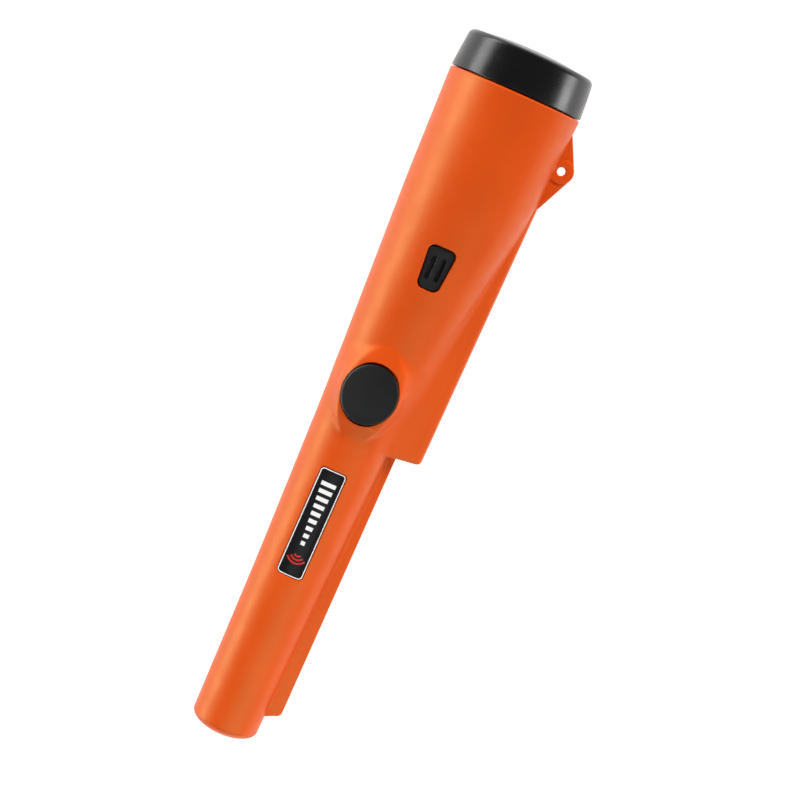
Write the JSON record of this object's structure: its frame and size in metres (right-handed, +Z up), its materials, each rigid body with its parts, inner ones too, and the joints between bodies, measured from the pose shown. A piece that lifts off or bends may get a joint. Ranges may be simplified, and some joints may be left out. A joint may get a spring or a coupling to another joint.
{
  "type": "pinpointer probe",
  "caption": "Hand-held pinpointer metal detector: tapered probe with scraper blade, lanyard eye, power button, sounder and lamp, around a search coil, board and battery under a screw cap.",
  "frame": {"origin": "centre of the bounding box, at its bottom: the plane the probe lies on", "axes": "+Z up, out of the button's face; +Y along the probe towards the battery cap, which the axis of the probe climbs by 2.87 degrees as it lies; +X towards the scraper blade and lanyard eye"},
  "size_m": [0.049, 0.2396, 0.0441],
  "materials": {
    "orange_plastic": "fine satin texture",
    "black_plastic": "satin",
    "black_rubber": "smooth",
    "label": "printed film",
    "circuit_board": "solder mask",
    "white_plastic": "natural",
    "foam": "open-cell foam",
    "red_insulation": "wire insulation",
    "clear_lens": "polished",
    "steel": "plated",
    "brass": "cast",
    "copper": "enamelled wire",
    "ferrite": "sintered",
    "battery_jacket": "painted jacket"
  },
  "bodies": {
    "housing": {"front_shell": "orange_plastic", "rear_shell": "orange_plastic", "label_plate": "label", "cap_o_ring": "black_rubber", "switch_body": "black_plastic", "speaker_grille": "black_plastic", "speaker_gauze": "foam", "speaker": "black_plastic", "speaker_magnet": "steel", "circuit_board": "circuit_board", "board_screw_1": "steel", "board_screw_2": "steel", "board_screw_3": "steel", "controller_chip": "black_plastic", "amplifier_chip": "black_plastic", "crystal": "steel", "voltage_regulator": "black_plastic", "capacitor_1": "steel", "capacitor_2": "steel", "ferrite_rod": "ferrite", "coil_former": "white_plastic", "coil_winding": "copper", "tip_pad": "foam", "coil_lead_1": "copper", "coil_lead_2": "copper", "lamp": "clear_lens", "lamp_lead_1": "steel", "lamp_lead_2": "steel", "vibration_motor": "steel", "motor_sleeve": "black_rubber", "eccentric_weight": "brass", "battery": "battery_jacket", "battery_stud": "steel", "battery_socket": "steel", "connector_socket": "steel", "connector_stud": "steel", "connector_plate": "black_plastic", "battery_lead_red": "red_insulation", "battery_lead_black": "black_rubber"},
    "pad": {"pad_disc": "white_plastic", "pressure_pad": "foam"},
    "cap": {"battery_cap": "black_plastic"},
    "button": {"button_cap": "black_rubber", "button_stem": "black_plastic", "stem_clip": "steel"},
    "plunger": {"switch_plunger": "white_plastic"}
  },
  "joints": [
    {"name": "cap_lift", "type": "slide", "parent": "housing", "child": "pad", "axis": [0, 0.9987, 0.0508], "range_m": [0, 0.0106]},
    {"name": "cap_turn", "type": "hinge", "parent": "pad", "child": "cap", "pos_m": [-0.0026, 0.11133, 0.02257], "axis": [0, 0.9987, 0.0508], "range_deg": [0, 1080]},
    {"name": "button_press", "type": "slide", "parent": "housing", "child": "button", "axis": [0, 0.0508, -0.9987], "range_m": [0, 0.0008], "stiffness_N_per_m": 1500},
    {"name": "plunger_press", "type": "slide", "parent": "housing", "child": "plunger", "axis": [0, 0.0508, -0.9987], "range_m": [0, 0.0006]}
  ],
  "couplings": [
    {"joint": "cap_lift", "follows": "cap_turn", "m_per_rad": 0.00055704},
    {"joint": "plunger_press", "follows": "button_press", "ratio": 0.7}
  ]
}
